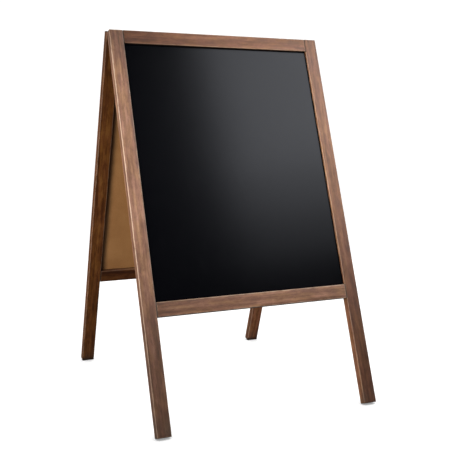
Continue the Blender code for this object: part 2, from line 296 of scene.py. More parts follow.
class Graph:
    """A small helper that adds and links shader nodes."""

    def __init__(self, name):
        self.material = bpy.data.materials.new(name)
        self.material.use_nodes = True
        self.tree = self.material.node_tree
        self.shader = self.tree.nodes["Principled BSDF"]
        self.coordinates = self.add("ShaderNodeTexCoord")
        self.position = self.coordinates.outputs["Object"]
        self.normal = self.coordinates.outputs["Normal"]

    def add(self, kind, **settings):
        made = self.tree.nodes.new(kind)
        for key, value in settings.items():
            setattr(made, key, value)
        return made

    def feed(self, socket, value):
        if isinstance(value, bpy.types.NodeSocket):
            self.tree.links.new(value, socket)
        elif isinstance(value, (tuple, list, Vector)) and socket.type == "RGBA":
            socket.default_value = (*value, 1.0)
        else:
            socket.default_value = value

    def math(self, operation, first, second=0.0):
        made = self.add("ShaderNodeMath", operation=operation)
        self.feed(made.inputs[0], first)
        self.feed(made.inputs[1], second)
        return made.outputs[0]

    def split(self, vector):
        made = self.add("ShaderNodeSeparateXYZ")
        self.feed(made.inputs[0], vector)
        return made.outputs

    def join(self, x, y, z):
        made = self.add("ShaderNodeCombineXYZ")
        for socket, value in zip(made.inputs, (x, y, z)):
            self.feed(socket, value)
        return made.outputs[0]

    def shift(self, vector, scale, offset=(0.0, 0.0, 0.0)):
        made = self.add("ShaderNodeVectorMath", operation="MULTIPLY_ADD")
        self.feed(made.inputs[0], vector)
        made.inputs[1].default_value = scale
        made.inputs[2].default_value = offset
        return made.outputs[0]

    def noise(self, vector, scale, detail=3.0, roughness=0.5, distortion=0.0):
        made = self.add("ShaderNodeTexNoise")
        self.feed(made.inputs["Vector"], vector)
        made.inputs["Scale"].default_value = scale
        made.inputs["Detail"].default_value = detail
        made.inputs["Roughness"].default_value = roughness
        made.inputs["Distortion"].default_value = distortion
        return made.outputs["Fac"]

    def cells(self, vector, scale):
        made = self.add("ShaderNodeTexVoronoi", feature="F1")
        self.feed(made.inputs["Vector"], vector)
        made.inputs["Scale"].default_value = scale
        made.inputs["Randomness"].default_value = 1.0
        return made.outputs["Distance"]

    def fit(self, value, low, high, out_low=0.0, out_high=1.0, soft=True):
        made = self.add("ShaderNodeMapRange")
        made.interpolation_type = "SMOOTHSTEP" if soft else "LINEAR"
        for index, number in enumerate((value, low, high, out_low, out_high)):
            self.feed(made.inputs[index], number)
        return made.outputs[0]

    def mix(self, factor, first, second, blend="MIX"):
        made = self.add("ShaderNodeMix", data_type="RGBA", blend_type=blend)
        self.feed(made.inputs[0], factor)
        self.feed(made.inputs[6], first)
        self.feed(made.inputs[7], second)
        return made.outputs[2]

    def ramp(self, value, stops):
        made = self.add("ShaderNodeValToRGB")
        elements = made.color_ramp.elements
        while len(elements) < len(stops):
            elements.new(0.5)
        for element, (place, colour) in zip(elements, stops):
            element.position = place
            element.color = (*colour, 1.0)
        self.feed(made.inputs[0], value)
        return made.outputs["Color"]

    def bump(self, height, distance, strength=1.0, under=None):
        made = self.add("ShaderNodeBump")
        made.inputs["Strength"].default_value = strength
        made.inputs["Distance"].default_value = distance
        self.feed(made.inputs["Height"], height)
        if under is not None:
            self.feed(made.inputs["Normal"], under)
        return made.outputs[0]

    def set(self, **values):
        for key, value in values.items():
            self.feed(self.shader.inputs[key.replace("_", " ")], value)
        return self.material


# ---------------------------------------------------------------- wood


def wood_material(name, low, high, along, seed, look):
    """Stained close-grained beech. along is the grain's axis, 0 for local X or 2 for local Z."""
    graph = Graph(name)
    x, y, z = graph.split(graph.position)
    length_ways, across = (z, x) if along == 2 else (x, z)
    middle = (low + high) / 2
    half = (high - low) / 2
    width_axis = 0 if along == 2 else 2

    # Grain space: U across the wide face, V through the thickness, W along the grain
    u = graph.math("SUBTRACT", across, middle[width_axis])
    v = graph.math("SUBTRACT", y, middle[1])
    w = graph.math("SUBTRACT", length_ways, middle[along])
    grain = graph.join(u, v, w)
    far = (seed * 3.7, seed * 1.9, seed * 0.83)

    # Growth rings, cut through by the faces
    wander = graph.noise(graph.shift(grain, (14, 14, 2.2), far), 1.0, 2.0)
    wander = graph.math("MULTIPLY", graph.math("SUBTRACT", wander, 0.5), 0.030)
    pith = graph.join(
        graph.math("ADD", graph.math("ADD", u, 0.011 + 0.02 * sin(seed * 2.1)), wander),
        graph.math("ADD", v, 0.052 + 0.015 * cos(seed * 1.3)),
        0.0,
    )
    radius = graph.add("ShaderNodeVectorMath", operation="LENGTH")
    graph.feed(radius.inputs[0], pith)
    jitter = graph.noise(graph.shift(grain, (160, 160, 9), far), 1.0, 3.0)
    turns = graph.math("MULTIPLY", radius.outputs["Value"], 1 / RING_PITCH)
    turns = graph.math("ADD", turns, graph.math("MULTIPLY", jitter, 1.3))
    rings = graph.math("FRACT", turns)
    rings = graph.math("POWER", rings, 2.2)

    # Stain taken up unevenly, in long soft streaks and in short mottling
    streaks = graph.noise(graph.shift(grain, (115, 115, 7.0), far), 1.0, 4.0, 0.55)
    mottle = graph.noise(graph.shift(grain, (95, 95, 32), far), 1.0, 4.0, 0.62, 0.4)
    broad = graph.noise(graph.shift(grain, (18, 18, 3.1), far), 1.0, 2.0)
    fibres = graph.noise(graph.shift(grain, (1500, 1500, 22), far), 1.0, 3.0, 0.6)
    tone = graph.math("MULTIPLY", streaks, 0.42)
    tone = graph.math("ADD", tone, graph.math("MULTIPLY", mottle, 0.36))
    tone = graph.math("ADD", tone, graph.math("MULTIPLY", broad, 0.16))
    tone = graph.math("ADD", tone, graph.math("MULTIPLY", fibres, 0.16))
    tone = graph.math("SUBTRACT", tone, graph.math("MULTIPLY", rings, 0.045))
    spread = 0.155 / look.contrast
    stained = graph.fit(tone, 0.55 - spread, 0.55 + spread, soft=False)
    colour = graph.ramp(stained, STAIN)
    # Painted shade on the faces inside the A, by the way each face points; a tint above 1 paints
    # light
    inner = graph.fit(graph.split(graph.normal)[1], look.inner_from, 0.7)
    facing_shading = graph.mix(inner, look.tint, look.inner_tint)
    colour = graph.mix(1.0, colour, facing_shading, "MULTIPLY")

    # Redder and yellower patches
    hue = graph.noise(graph.shift(grain, (85, 85, 17), (far[1], far[0], far[2])), 1.0, 3.0)
    warm = graph.mix(1.0, colour, WARM_TINT, "MULTIPLY")
    pink = graph.mix(1.0, colour, PINK_TINT, "MULTIPLY")
    colour = graph.mix(graph.fit(hue, 0.42, 0.60), pink, warm)

    # Beech flecks and open pores
    flecks = graph.noise(graph.shift(grain, (900, 900, 130), far), 1.0, 1.0, 0.4)
    flecks = graph.fit(flecks, 0.62, 0.70)
    colour = graph.mix(graph.math("MULTIPLY", flecks, 0.38), colour, FLECK_COLOUR)
    pores = graph.noise(graph.shift(grain, (2600, 2600, 240), far), 1.0, 1.0, 0.4)
    pores = graph.fit(pores, 0.60, 0.72)
    colour = graph.mix(graph.math("MULTIPLY", pores, 0.25), colour, PORE_COLOUR)

    # End grain drinks more stain
    endways = graph.math("ABSOLUTE", graph.split(graph.normal)[along])
    end_grain = graph.fit(endways, 0.55, 0.9)
    end_colour = graph.mix(1.0, colour, END_GRAIN_TINT, "MULTIPLY")
    colour = graph.mix(end_grain, colour, end_colour)

    # Corners rubbed paler by handling, and pale enough to be a painted highlight on the lit edges
    near_u = graph.math("SUBTRACT", half[width_axis], graph.math("ABSOLUTE", u))
    near_v = graph.math("SUBTRACT", half[1], graph.math("ABSOLUTE", v))
    near_w = graph.math("SUBTRACT", half[along], graph.math("ABSOLUTE", w))
    corner = graph.math("MAXIMUM", near_u, near_v)
    end_corner = graph.math("MAXIMUM", graph.math("MINIMUM", near_u, near_v), near_w)
    corner = graph.math("MINIMUM", corner, end_corner)
    scuff = graph.noise(graph.shift(grain, (210, 210, 55), far), 1.0, 3.0, 0.65)
    reach = graph.math("MULTIPLY", graph.math("SUBTRACT", scuff, 0.30), 4.5 * MM)
    worn_highlight = graph.fit(graph.math("SUBTRACT", corner, reach), 0.4 * MM, 1.5 * MM, 1.0, 0.0)
    worn_highlight_colour = graph.mix(0.75, colour, WORN_HIGHLIGHT_COLOUR)
    colour = graph.mix(graph.math("MULTIPLY", worn_highlight, look.wear), colour, worn_highlight_colour)

    # The side towards the panel: painted light on one stile. Every stile's corner has a dark seam
    # beside the rails, and on the other stile painted shade all along the panel. On a rail, painted
    # shade on the underside
    if along == 2:
        inward = 1.0 if middle.x < 0 else -1.0
        facing_panel = graph.math("MULTIPLY", graph.split(graph.normal)[0], inward)
        lit_side = graph.mix(1.0, colour, SIDE_LIGHT_TINT, "MULTIPLY")
        painted_side_light = graph.fit(facing_panel, 0.5, 0.9, 0.0, max(look.edge, 0.0))
        colour = graph.mix(painted_side_light, colour, lit_side)
        inset = graph.math("SUBTRACT", half.x, graph.math("MULTIPLY", u, inward))
        seam = graph.fit(inset, 0.6 * MM, 2.6 * MM, 0.80, 0.0)
        rail_low = PANEL_BOTTOM - RAIL_WIDTH
        beside_rail = graph.math("GREATER_THAN", z, LEG_TOP - RAIL_WIDTH)
        lower = graph.math("GREATER_THAN", z, rail_low)
        lower = graph.math("MULTIPLY", lower, graph.math("LESS_THAN", z, PANEL_BOTTOM))
        beside_rail = graph.math("MAXIMUM", beside_rail, lower)
        beside_panel = graph.math("GREATER_THAN", z, rail_low)
        beside_panel = graph.math("MULTIPLY", beside_panel, max(-look.edge, 0.0))
        seam_and_shade = graph.math("MULTIPLY", seam, graph.math("MAXIMUM", beside_rail, beside_panel))
    else:
        underneath = graph.math("MULTIPLY", graph.split(graph.normal)[2], -1.0)
        seam_and_shade = graph.math("MULTIPLY", graph.fit(underneath, 0.6, 0.95), 0.85)
    colour = graph.mix(seam_and_shade, colour, SEAM_AND_SHADE_COLOUR)

    # Painted shade, darker towards the ends of the piece
    rise = graph.math("ADD", w, half[along])
    fall = graph.math("SUBTRACT", half[along], w)
    patchy = graph.fit(graph.noise(graph.shift(grain, (60, 60, 25), far), 1.0, 4.0), 0.3, 0.7)
    low_from, low_to, low_share = look.low_end
    high_from, high_to, high_share = look.high_end
    depth = graph.math(
        "MAXIMUM",
        graph.fit(rise, low_from, low_to, low_share, 0.0),
        graph.fit(fall, high_from, high_to, high_share, 0.0),
    )
    unevenly = graph.math("ADD", 0.85, graph.math("MULTIPLY", patchy, 0.3))
    depth = graph.math("MULTIPLY", depth, unevenly)
    deeper = graph.mix(1.0, colour, END_SHADE_TINT, "MULTIPLY")
    colour = graph.mix(depth, colour, deeper)

    # Painted shade from ambient occlusion in joints, recesses and along the panel's edges
    crevice = graph.add("ShaderNodeAmbientOcclusion", samples=8)
    crevice.inputs["Distance"].default_value = 18 * MM
    crevice_shade = graph.fit(crevice.outputs["AO"], 0.40, 0.96, 0.92, 0.0)
    if along == 2:
        crevice_shade = graph.math("MULTIPLY", crevice_shade, graph.math("SUBTRACT", 1.0, painted_side_light))
    colour = graph.mix(crevice_shade, colour, CREVICE_SHADE_COLOUR)

    # A dark line where a rail meets the stiles, and darker towards the feet
    if along == 0:
        seam = graph.fit(near_w, 0.8 * MM, 2.4 * MM, 0.80, 0.0)
        colour = graph.mix(seam, colour, SEAM_COLOUR)
    else:
        foot_darkening = graph.fit(rise, 0.0, 0.07, 0.45, 0.0)
        foot_darkening = graph.math("MULTIPLY", foot_darkening, patchy)
        colour = graph.mix(foot_darkening, colour, FOOT_DARK_COLOUR)

    uneven = graph.math("ADD", 0.45, graph.math("MULTIPLY", mottle, 0.16))
    uneven = graph.math("ADD", uneven, graph.math("MULTIPLY", flecks, 0.12))
    uneven = graph.math("ADD", uneven, graph.math("MULTIPLY", end_grain, 0.25))
    uneven = graph.math("ADD", uneven, graph.math("MULTIPLY", worn_highlight, 0.06))

    pits = graph.math("ADD", flecks, graph.math("MULTIPLY", pores, 0.8))
    pits = graph.math("MULTIPLY", pits, 0.6)
    relief = graph.math("SUBTRACT", graph.math("MULTIPLY", fibres, 0.7), pits)
    surface = graph.bump(relief, 0.05 * MM, 0.7)
    surface = graph.bump(streaks, 0.25 * MM, 0.35, surface)
    return graph.set(
        Base_Color=colour,
        Roughness=uneven,
        Normal=surface,
        Specular_IOR_Level=look.gloss,
    )


def dent_profile(rng, length):
    """Random dents along one corner, as (where, half length, depth)."""
    count = int(rng.random() + DENTS_PER_METRE * length)
    return [
        (rng.uniform(0, length), rng.uniform(2, 7) * MM, rng.uniform(0.2, 1.1) * MM)
        for _ in range(count)
    ]


def section(half_u, half_v, radii):
    """A rounded rectangle in the UV plane, with its own radius at each corner."""
    points = []
    corners = ((1, 1), (-1, 1), (-1, -1), (1, -1))
    for index, (side_u, side_v) in enumerate(corners):
        r = radii[index]
        centre_u = side_u * (half_u - r)
        centre_v = side_v * (half_v - r)
        for step in range(CORNER_STEPS + 1):
            angle = (index + step / CORNER_STEPS) * pi / 2
            points.append((centre_u + r * cos(angle), centre_v + r * sin(angle)))
        next_u, next_v = corners[(index + 1) % 4]
        next_r = radii[(index + 1) % 4]
        start = points[-1]
        if index % 2 == 0:
            end = (next_u * (half_u - next_r), start[1])
        else:
            end = (start[0], next_v * (half_v - next_r))
        for share in (0.25, 0.5, 0.75):
            u = start[0] + (end[0] - start[0]) * share
            v = start[1] + (end[1] - start[1]) * share
            points.append((u, v))
    return points


def timber(node, board, along, seed, look):
    """Rebuilds a stile or rail with worn, softly rounded corners, inside its CAD solid."""
    rng = random.Random(seed)
    low, high = local_box(node, board)
    middle = (low + high) / 2
    half = (high - low) / 2 - Vector((TIMBER_SHRINK,) * 3)
    width_axis = 0 if along == 2 else 2
    half_u, half_v, half_w = half[width_axis], half[1], half[along]
    length = 2 * half_w
    dents = [dent_profile(rng, length) for _ in range(4)]

    stops = [END_RADIUS * (1 - cos(pi / 2 * i / END_STEPS)) for i in range(END_STEPS)]
    count = max(2, round((length - 2 * END_RADIUS) / STATION_PITCH))
    inner = [END_RADIUS + (length - 2 * END_RADIUS) * i / count for i in range(count + 1)]
    stations = stops + inner + [length - stop for stop in reversed(stops)]

    rings = []
    for place in stations:
        from_end = min(place, length - place)
        inset = 0.0
        if from_end < END_RADIUS:
            inset = END_RADIUS - sqrt(END_RADIUS**2 - (END_RADIUS - from_end) ** 2)
        radii = []
        for corner in range(4):
            wave = noise.noise(Vector((place * 9, corner * 5.1, seed * 7.3)))
            fine = noise.noise(Vector((place * 60, corner * 5.1, seed * 3.9)))
            r = CORNER_RADIUS + (0.30 * max(0.0, wave) + 0.18 * max(0.0, fine)) * MM
            for where, reach, depth in dents[corner]:
                r += depth * max(0.0, 1 - ((place - where) / reach) ** 2) ** 2
            radii.append(max(r - inset, 0.7 * MM))
        ring = []
        for u, v in section(half_u - inset, half_v - inset, radii):
            point = Vector()
            point[width_axis] = middle[width_axis] + u
            point[1] = middle[1] + v
            point[along] = middle[along] - half_w + place
            hollow = noise.noise(point * 11 + Vector((seed, 0, 0)))
            point[1] -= v / half_v * 0.06 * MM * max(0.0, hollow)
            ring.append(point)
        rings.append(ring)
    piece = new_object(node + "_timber", loft(node + "_timber", rings), BOARDS[board])
    apply_boolean(piece, nodes[node], "INTERSECT")
    smooth(piece.data)
    piece.data.materials.clear()
    piece.data.materials.append(wood_material(f"{node}_wood", low, high, along, seed, look))
    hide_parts(node)
    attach(piece, f"{board}_board")


# ---------------------------------------------------------------- other materials


def panel_material(name, board):
    """Matte black chalkboard paint on the outer face, bare tan hardboard on the inner face."""
    graph = Graph(name)
    outward = BOARDS[board].to_3x3() @ Vector((0, -1, 0))
    facing = graph.add("ShaderNodeVectorMath", operation="DOT_PRODUCT")
    graph.feed(facing.inputs[0], graph.normal)
    facing.inputs[1].default_value = outward
    painted = graph.fit(facing.outputs["Value"], 0.0, 0.3)

    stipple = graph.noise(graph.position, 1400, 2.0, 0.6)
    orange_peel = graph.noise(graph.position, 260, 2.0, 0.5)
    smear = graph.noise(graph.shift(graph.position, (5.5, 9, 9)), 1.0, 5.0, 0.62, 0.8)
    dust = graph.noise(graph.shift(graph.position, (40, 12, 12)), 1.0, 5.0, 0.7)
    dust = graph.fit(dust, 0.5, 0.85)
    black = graph.mix(graph.math("MULTIPLY", smear, 0.5), *PAINT)
    black = graph.mix(graph.math("MULTIPLY", dust, 0.035), black, PAINT_DUST)
    black_rough = graph.math("ADD", 0.19, graph.math("MULTIPLY", smear, 0.05))

    pulp = graph.noise(graph.position, 700, 5.0, 0.72)
    chips = graph.cells(graph.shift(graph.position, (1, 1, 0.45)), 620)
    cloud = graph.noise(graph.position, 16, 3.0, 0.5)
    blend = graph.math("MULTIPLY", pulp, 0.7)
    blend = graph.math("ADD", blend, graph.math("MULTIPLY", cloud, 0.3))
    tan = graph.ramp(blend, HARDBOARD)
    specks = graph.fit(chips, 0.10, 0.28, 1.0, 0.0)
    tan = graph.mix(graph.math("MULTIPLY", specks, 0.30), tan, HARDBOARD_SPECK)

    # Painted shadow of the stiles on the hardboard back, along both side edges
    sideways = graph.math("ABSOLUTE", graph.split(graph.position)[0])
    inside = graph.math("SUBTRACT", PANEL_HALF_WIDTH - PANEL_MARGIN, sideways)
    stile_shadow = graph.math("ADD", inside, graph.math("MULTIPLY", cloud, 8 * MM))
    stile_shadow = graph.fit(stile_shadow, 7 * MM, 30 * MM, 0.80, 0.0)
    tan = graph.mix(stile_shadow, tan, HARDBOARD_SHADOW)

    colour = graph.mix(painted, tan, black)
    rough = graph.fit(painted, 0.0, 1.0, 0.72, black_rough, soft=False)
    # Painted shade on the paint's sheen near the frame, where ambient occlusion is low
    sheen_shade = graph.add("ShaderNodeAmbientOcclusion", samples=8)
    sheen_shade.inputs["Distance"].default_value = 9 * MM
    shine = graph.fit(sheen_shade.outputs["AO"], 0.50, 0.90, 0.02, 0.101)
    speckle = graph.noise(graph.position, 380, 2.0, 0.6)
    speckle = graph.math("ADD", 0.84, graph.math("MULTIPLY", speckle, 0.32))
    shine = graph.math("MULTIPLY", shine, speckle)
    shine = graph.fit(painted, 0.0, 1.0, 0.30, shine, soft=False)
    skin = graph.math("ADD", stipple, graph.math("MULTIPLY", orange_peel, 0.6))
    height = graph.math(
        "ADD",
        graph.math("MULTIPLY", painted, graph.math("MULTIPLY", skin, 0.25)),
        graph.math("MULTIPLY", graph.math("SUBTRACT", 1.0, painted), pulp),
    )
    return graph.set(
        Base_Color=colour,
        Roughness=rough,
        Specular_IOR_Level=shine,
        Specular_Tint=PAINT_SHEEN_TINT,
        Normal=graph.bump(height, 0.06 * MM, 0.6),
    )


def zinc_material(name, seed):
    """Dull zinc plating with a rolled grain, handling marks and a few grey blooms."""
    graph = Graph(name)
    far = (seed * 0.31, seed * 0.17, seed * 0.71)
    rolled = graph.noise(graph.shift(graph.position, (90, 2600, 2600), far), 1.0, 3.0, 0.6)
    moved = graph.shift(graph.position, (1, 1, 1), far)
    bloom = graph.noise(moved, 170, 4.0, 0.65)
    spots = graph.fit(graph.noise(moved, 900, 2.0), 0.62, 0.75)
    colour = graph.ramp(bloom, ZINC)
    colour = graph.mix(graph.math("MULTIPLY", spots, 0.4), colour, ZINC_SPOT)
    rough = graph.math("ADD", 0.22, graph.math("MULTIPLY", bloom, 0.28))
    rough = graph.math("ADD", rough, graph.math("MULTIPLY", spots, 0.2))
    surface = graph.bump(rolled, 0.02 * MM, 0.5)
    surface = graph.bump(spots, 0.03 * MM, 0.6, surface)
    return graph.set(Base_Color=colour, Metallic=0.95, Roughness=rough, Normal=surface)


def dowel_material(name, seed):
    """Bare turned beech with close grain and small flecks."""
    graph = Graph(name)
    far = (seed * 1.3, seed * 0.7, seed * 2.9)
    grain = graph.noise(graph.shift(graph.position, (30, 900, 900), far), 1.0, 3.0, 0.6)
    flecks = graph.noise(graph.shift(graph.position, (240, 1500, 1500), far), 1.0, 1.0)
    colour = graph.ramp(grain, BEECH)
    fleck_mask = graph.fit(flecks, 0.60, 0.72)
    colour = graph.mix(graph.math("MULTIPLY", fleck_mask, 0.4), colour, BEECH_FLECK)
    rough = graph.math("ADD", 0.55, graph.math("MULTIPLY", grain, 0.25))
    surface = graph.bump(grain, 0.04 * MM, 0.6)
    return graph.set(Base_Color=colour, Roughness=rough, Normal=surface)


def webbing_material(name):
    """Black woven polypropylene, greyed a little where it has been rubbed."""
    graph = Graph(name)
    threads = graph.noise(graph.shift(graph.position, (4200, 900, 900)), 1.0, 2.0, 0.6)
    fuzz = graph.noise(graph.position, 2500, 4.0, 0.7)
    fade = graph.noise(graph.position, 60, 3.0, 0.5)
    colour = graph.mix(fade, *WEBBING)
    colour = graph.mix(graph.fit(threads, 0.45, 0.75, 0.0, 0.5), colour, WEBBING_THREAD)
    rough = graph.math("ADD", 0.55, graph.math("MULTIPLY", fuzz, 0.30))
    surface = graph.bump(threads, 0.06 * MM, 0.6)
    surface = graph.bump(fuzz, 0.05 * MM, 0.5, surface)
    return graph.set(Base_Color=colour, Roughness=rough, Normal=surface, Sheen_Weight=0.15)


# ---------------------------------------------------------------- small parts


def screw_mesh(name, low, high):
    """A countersunk wood screw with a cut thread: head at high y, point at low y."""
    centre_x = (low.x + high.x) / 2
    centre_z = (low.z + high.z) / 2
    head = (high.x - low.x) / 2
    length = high.y - low.y
    shank = head - HEAD_OVERHANG
    core = shank - THREAD_DEPTH
    threaded = length - THREAD_START
    places = [0.0, 0.10 * MM, HEAD_RIM]
    places += [HEAD_RIM + HEAD_CONE * i / 6 for i in range(1, 7)]
    steps = int(threaded / (THREAD_PITCH / 6))
    places += [THREAD_START + threaded * i / steps for i in range(steps + 1)]
    rings = []
    for depth in places:
        ring = []
        for step in range(SCREW_STEPS):
            angle = tau * step / SCREW_STEPS
            if depth <= HEAD_RIM:
                radius = head - HEAD_EDGE + min(depth, HEAD_EDGE)
            elif depth < THREAD_START:
                radius = max(shank - 0.05 * MM, head - (depth - HEAD_RIM) * HEAD_SLOPE)
            else:
                turn = (depth / THREAD_PITCH - step / SCREW_STEPS) % 1.0
                crest = max(0.0, 1 - abs(turn - 0.5) * 4.5)
                taper = min(1.0, max(0.06, (length - depth) / SCREW_POINT))
                radius = (core + (shank - core - 0.03 * MM) * crest) * taper
            x = centre_x + radius * cos(angle)
            z = centre_z + radius * sin(angle)
            ring.append(Vector((x, high.y - depth, z)))
        rings.append(ring)
    return loft(name, rings), Vector((centre_x, high.y, centre_z))


def cross_recess(centre, turn):
    """A tapered cross-shaped cutter for a screw head."""
    rings = []
    for depth, arm, half in CROSS_STATIONS:
        ring = []
        for quarter in range(4):
            for along, aside in ((half, -half), (arm, -half), (arm, half)):
                angle = turn + quarter * pi / 2
                x = along * cos(angle) - aside * sin(angle)
                z = along * sin(angle) + aside * cos(angle)
                ring.append(centre + Vector((x, -depth, z)) * MM)
        rings.append(ring)
    return loft("cross_recess", rings)


def build_screw(node, board, seed):
    rng = random.Random(seed)
    low, high = local_box(node, board)
    mesh, centre = screw_mesh(node + "_threaded", low, high)
    piece = new_object(node + "_threaded", mesh, BOARDS[board])
    carve(piece, cross_recess(centre, rng.uniform(0, pi / 2)))
    finish_metal(piece, node, board, seed)


def finish_metal(piece, node, board, seed):
    smooth(piece.data, radians(30))
    piece.data.materials.clear()
    piece.data.materials.append(zinc_material(f"{node}_zinc", seed))
    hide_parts(node)
    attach(piece, f"{board}_board")


def leaf_outline(low, high, y, inset, first_knuckle):
    """Outline of a hinge leaf's plate at one depth: notched on top, round lower corners."""
    pitch = (high.x - low.x) / KNUCKLE_COUNT
    points = []
    for index in range(KNUCKLE_COUNT):
        own = index % 2 == first_knuckle
        level = LEAF_TOP if own else -(high.z + 2 * KNUCKLE_GAP)
        narrower = KNUCKLE_GAP / 6 if own else -KNUCKLE_GAP / 6
        start = max(low.x + index * pitch + narrower, low.x + inset)
        stop = min(low.x + (index + 1) * pitch - narrower, high.x - inset)
        points += [Vector((start, y, level)), Vector((stop, y, level))]
    for side in (1, -1):
        centre_x = (high.x if side > 0 else low.x) - side * LEAF_CORNER
        centre_z = low.z + LEAF_CORNER
        for step in range(LEAF_CORNER_STEPS + 1):
            share = step / LEAF_CORNER_STEPS
            turn = share if side > 0 else 1 - share
            reach = LEAF_CORNER - inset
            x = centre_x + side * reach * cos(turn * pi / 2)
            points.append(Vector((x, y, centre_z - reach * sin(turn * pi / 2))))
    return points


def build_leaf(side, board, seed):
    """A butt-hinge leaf: eased plate, turned knuckles and countersunk holes."""
    node = f"{side}_hinge_{board}_leaf"
    low, high = local_box(node, board)
    outer, inner = low.y, low.y + LEAF_THICK
    first_knuckle = 0 if board == "front" else 1
    depths = (
        (outer, LEAF_EASE),
        (outer + LEAF_EASE, 0.0),
        (inner - LEAF_EASE, 0.0),
        (inner, LEAF_EASE),
    )
    outlines = [leaf_outline(low, high, y, inset, first_knuckle) for y, inset in depths]
    piece = new_object(node + "_rounded", loft(node + "_rounded", outlines))

    pitch = (high.x - low.x) / KNUCKLE_COUNT
    barrel = high.z
    for index in range(first_knuckle, KNUCKLE_COUNT, 2):
        start = low.x + index * pitch + KNUCKLE_GAP / 2
        stop = start + pitch - KNUCKLE_GAP
        stations = (
            (start, PIN_BORE),
            (start, barrel - LEAF_EASE),
            (start + LEAF_EASE, barrel),
            (stop - LEAF_EASE, barrel),
            (stop, barrel - LEAF_EASE),
            (stop, PIN_BORE),
        )
        carve(piece, turned("knuckle", 0, stations, (0, 0, 0), hollow=True), "UNION")
    for number in (1, 2, 3):
        screw_low, screw_high = local_box(f"{side}_hinge_{board}_screw_{number}", board)
        centre = (screw_low + screw_high) / 2
        wide = (screw_high.x - screw_low.x) / 2 + SINK_ROOM
        sink = ((outer - SINK_OVERLAP, wide - SINK_TAPER), (inner + SINK_OVERLAP, wide))
        carve(piece, turned("countersink", 1, sink, centre))
    piece.matrix_world = BOARDS[board]
    finish_metal(piece, node, board, seed)


def strap_line():
    """The strap's middle line from front to rear tab, as (point, normal, distance along)."""
    board = BOARDS["front"]
    inward = board.to_3x3() @ Vector((0, 1, 0))
    along = board.to_3x3() @ Vector((0, 0, 1))
    tab_top, tab_end = (LEG_TOP - distance for distance in STRAP_TAB)
    half = []
    count = round((tab_top - tab_end) / STRAP_STEP)
    for i in range(count + 1):
        height = tab_end + (tab_top - tab_end) * i / count
        half.append(board @ Vector((0, STRAP_LAYER, height)))
    bend = half[-1] + inward * STRAP_BEND_RADIUS
    turn = pi / 2 - LEAN
    for i in range(1, STRAP_BEND_STEPS + 1):
        angle = turn * i / STRAP_BEND_STEPS
        spoke = along * sin(angle) - inward * cos(angle)
        half.append(bend + spoke * STRAP_BEND_RADIUS)
    lip = half[-1].copy()
    count = round(-lip.y / STRAP_STEP)
    for i in range(1, count + 1):
        share = i / count
        drop = STRAP_SAG * sin(share * pi / 2) ** 2
        half.append(Vector((0, lip.y * (1 - share), lip.z - drop)))
    points = half + [Vector((0, -point.y, point.z)) for point in reversed(half[:-1])]
    line = []
    travelled = 0.0
    for i, point in enumerate(points):
        ahead = points[min(i + 1, len(points) - 1)] - points[max(i - 1, 0)]
        ahead.normalize()
        if i:
            travelled += (point - points[i - 1]).length
        line.append((point, Vector((0, -ahead.z, ahead.y)), travelled))
    return line


def strap_ring(point, normal, travelled):
    """One cross-section of the webbing: cords that bulge in turn over and under the weft."""
    upper, lower = [], []
    for i in range(2 * STRAP_RIBS + 1):
        x = STRAP_WIDTH * (i / (2 * STRAP_RIBS) - 0.5)
        wave = sin(tau * travelled / STRAP_PITCH + (i // 2) * pi)
        for side, ring in ((1, upper), (-1, lower)):
            rise = CORD_HEIGHT + CORD_WAVE * wave * side if i % 2 else GROOVE_HEIGHT
            if i in (0, 2 * STRAP_RIBS):
                rise = SELVEDGE_HEIGHT
            ring.append(point + Vector((x, 0, 0)) + normal * (side * rise * STRAP_HALF_THICK))
    return upper + lower[::-1]


def build_strap():
    """Webbing clamped to both lower rails: two tabs, and a span between them carried by the front
    board.
    """
    line = strap_line()
    tab_length = STRAP_TAB[1] - STRAP_TAB[0]
    bend = sum(1 for _, _, travelled in line if travelled <= tab_length) - 1
    material = webbing_material("webbing")
    parts = {
        "front_tab": line[: bend + 1],
        "span": line[bend : len(line) - bend],
        "rear_tab": line[len(line) - 1 - bend :],
    }
    for part, stations in parts.items():
        mesh = loft(f"strap_{part}", [strap_ring(*station) for station in stations])
        piece = new_object(f"strap_{part}", mesh)
        if part != "span":
            apply_boolean(piece, nodes["limit_strap"], "INTERSECT")
        smooth(piece.data, radians(60))
        piece.data.materials.clear()
        piece.data.materials.append(material)
        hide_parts("limit_strap")
        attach(piece, "rear_board" if part == "rear_tab" else "front_board")
        if part == "span":
            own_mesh(piece)


def soften(node):
    """Smooth shading and a fine bevel on a CAD metal part."""
    smooth(nodes[node].data, radians(30))
    # The bevel needs shared corners, and the faces of a CAD mesh have none
    weld = nodes[node].modifiers.new("joined corners", "WELD")
    weld.merge_threshold = 0.005 * MM
    bevel = nodes[node].modifiers.new("softened edges", "BEVEL")
    bevel.width = METAL_EDGE
    bevel.segments = 2
    bevel.limit_method = "ANGLE"
    bevel.angle_limit = radians(40)
    bevel.harden_normals = True


def dress(node, material):
    piece = nodes[node]
    piece.data.materials.clear()
    piece.data.materials.append(material)
